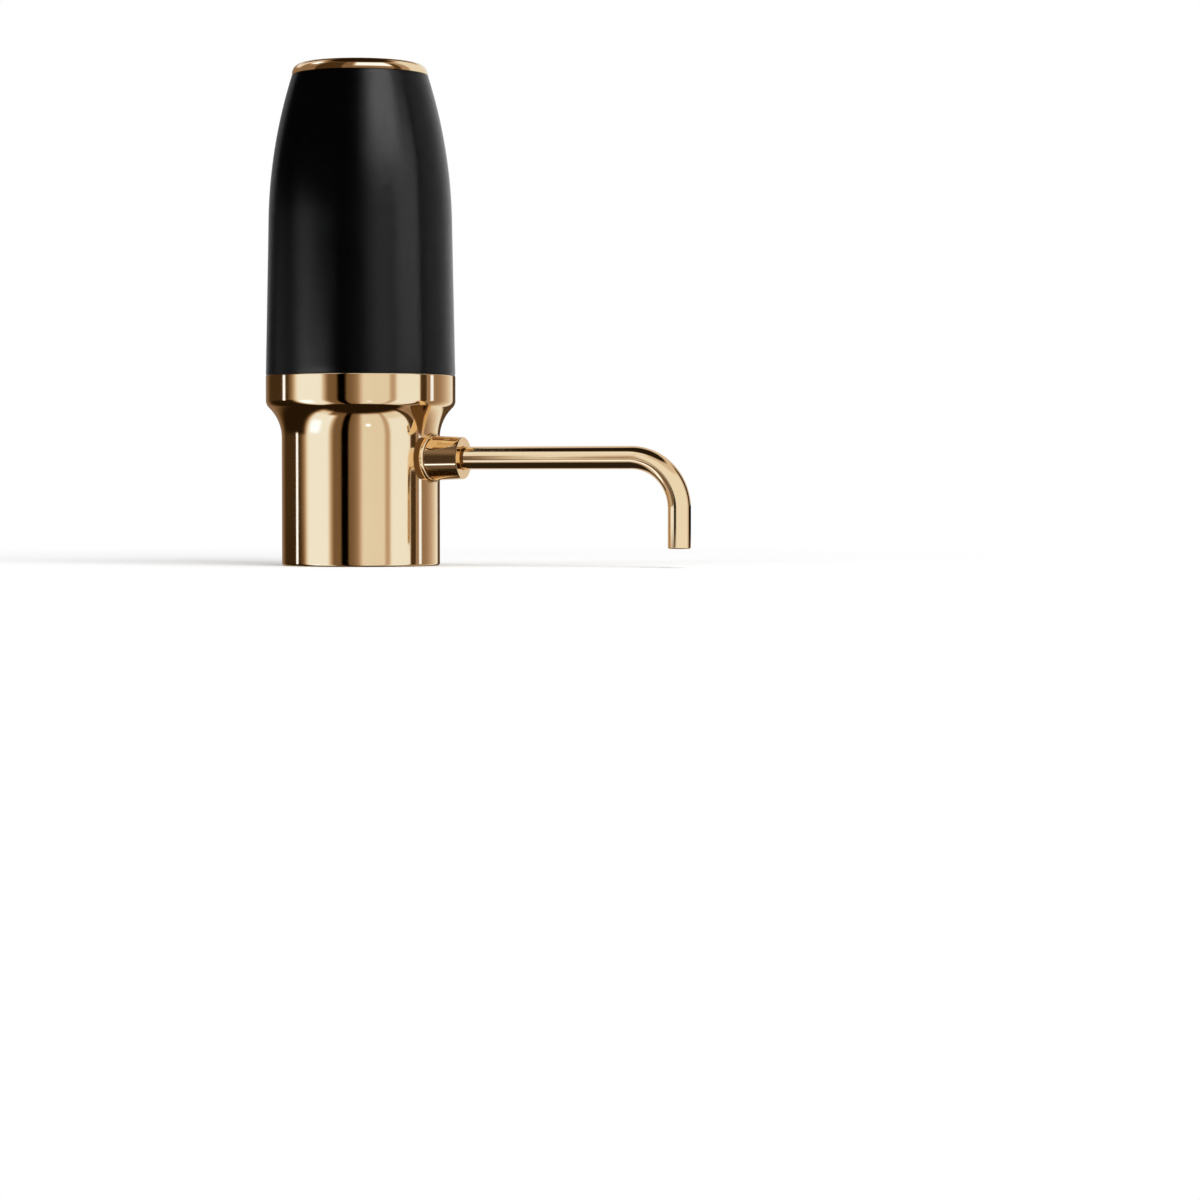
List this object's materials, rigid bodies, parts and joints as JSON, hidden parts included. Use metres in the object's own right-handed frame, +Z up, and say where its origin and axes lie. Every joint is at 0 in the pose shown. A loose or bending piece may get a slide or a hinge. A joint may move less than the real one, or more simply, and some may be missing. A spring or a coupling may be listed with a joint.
{
  "type": "electric wine dispenser",
  "caption": "Battery wine dispenser that plugs into a bottle neck: satin black grip with a top button, polished gold collar and trim ring, and a bent gold spout that swivels.",
  "frame": {"origin": "centre of the collar's lower rim, in the rim's plane, where the part stands when it is set down", "axes": "+Z up along the body's axis towards the button, +X from the body's axis towards the spout's outlet, +Y by the right-hand rule, towards the charging inlet"},
  "size_m": [0.1103, 0.047, 0.124],
  "materials": {
    "gold": "mirror polished, gold plated",
    "gold_tube": "mirror polished, gold plated",
    "black_satin": "satin black",
    "black_button": "fine matte black",
    "steel": "bright steel",
    "seal_rubber": "matte black rubber",
    "silicone": "milky silicone",
    "white_plastic": "moulded white plastic",
    "grey_plastic": "moulded grey plastic",
    "ferrite": "ground ferrite",
    "bronze": "sintered bronze",
    "copper": "enamelled copper",
    "cell_wrap": "plain blue film",
    "board": "green solder mask",
    "lead_red": "soft red insulation",
    "lead_grey": "soft grey insulation"
  },
  "bodies": {
    "base": {"collar": "gold", "grip_shell": "black_satin", "top_ring": "gold", "button_spring": "steel", "spout_socket": "gold", "socket_seal": "seal_rubber", "spout_seals": "seal_rubber", "manifold": "white_plastic", "deck_gasket": "seal_rubber", "manifold_screws": "steel", "stopper": "silicone", "suction_barb": "white_plastic", "air_inlet": "white_plastic", "check_valve": "silicone", "air_hose": "silicone", "chassis": "grey_plastic", "chassis_screws": "steel", "pump_clamp": "grey_plastic", "clamp_screws": "steel", "pump_cover": "grey_plastic", "valve_plate": "white_plastic", "outlet_valve": "silicone", "pump_diaphragm": "seal_rubber", "wobble_plate": "white_plastic", "pump_housing": "grey_plastic", "pump_screws": "steel", "motor_screws": "steel", "motor_can": "steel", "motor_magnets": "ferrite", "motor_bushes": "bronze", "motor_end_cap": "white_plastic", "motor_terminals": "bronze", "battery_cell": "cell_wrap", "cell_pad": "seal_rubber", "cell_tabs": "steel", "charge_board": "board", "charge_board_screws": "steel", "usb_shell": "steel", "usb_tongue": "black_button", "switch_board": "board", "board_screws": "steel", "tact_switch": "black_button", "motor_leads": "lead_red", "battery_leads": "lead_red", "board_link": "lead_grey"},
    "button": {"power_button": "black_button"},
    "plunger": {"switch_plunger": "white_plastic"},
    "spout": {"spout_tube": "gold_tube"},
    "rotor": {"eccentric": "steel", "rotor_core": "steel", "rotor_windings": "copper", "rotor_shaft": "steel", "commutator": "copper"}
  },
  "joints": [
    {"name": "button_press", "type": "slide", "parent": "base", "child": "button", "axis": [0, 0, -1], "range_m": [0, 0.0006], "stiffness_N_per_m": 800, "springref_m": -0.0005, "deforming": ["button_spring"]},
    {"name": "plunger_press", "type": "slide", "parent": "base", "child": "plunger", "axis": [0, 0, -1], "range_m": [0, 0.0006]},
    {"name": "spout_swivel", "type": "hinge", "parent": "base", "child": "spout", "pos_m": [0.0278, 0, 0.0265], "axis": [1, 0, 0], "continuous": true},
    {"name": "rotor_spin", "type": "hinge", "parent": "base", "child": "rotor", "pos_m": [-0.00719, 0, 0.085], "axis": [0, 0, 1], "continuous": true}
  ],
  "couplings": [
    {"joint": "plunger_press", "follows": "button_press", "ratio": 1}
  ]
}
